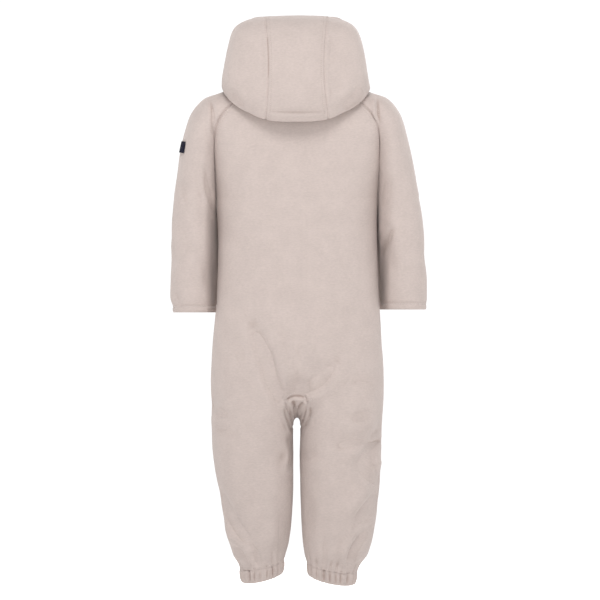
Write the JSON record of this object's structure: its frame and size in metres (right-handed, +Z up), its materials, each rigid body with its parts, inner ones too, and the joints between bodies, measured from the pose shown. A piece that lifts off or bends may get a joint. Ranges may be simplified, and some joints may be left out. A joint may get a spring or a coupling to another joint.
{
  "type": "fleece overalls",
  "caption": "Hooded one-piece fleece overalls for a small child, with long sleeves, gathered leg cuffs and a front zip, hollow and filled out as worn.",
  "frame": {"origin": "middle of the shoulders, at the base of the hood, where the wearer carries the garment", "axes": "+Z up towards the hood, -Y out of the front of the garment, +X towards the wearer's left"},
  "size_m": [0.3544, 0.1852, 0.7884],
  "materials": {
    "fleece": "brushed matte fleece",
    "zip_tape": "woven matte tape",
    "label": "woven satin, plain",
    "zip_metal": "satin"
  },
  "bodies": {
    "garment": {"back": "fleece", "front_left": "fleece", "front_right": "fleece", "leg_back_left": "fleece", "leg_back_right": "fleece", "leg_front_left": "fleece", "leg_front_right": "fleece", "sleeve_left": "fleece", "sleeve_right": "fleece", "cuff_left": "fleece", "cuff_right": "fleece", "hood_centre": "fleece", "hood_left": "fleece", "hood_right": "fleece", "hood_hem": "fleece", "crotch_gusset": "fleece", "leg_cuff_left": "fleece", "leg_cuff_right": "fleece", "zip_tape_left": "zip_tape", "zip_tape_right": "zip_tape", "zip_top_left": "zip_tape", "zip_top_right": "zip_tape", "sleeve_label": "label", "zip_slider": "zip_metal"},
    "pull": {"zip_pull": "zip_metal"}
  },
  "joints": [
    {"name": "pull_swing", "type": "hinge", "parent": "garment", "child": "pull", "pos_m": [0, -0.0717, 0.00958], "axis": [-1, 0, 0], "range_deg": [-15, 115]}
  ]
}
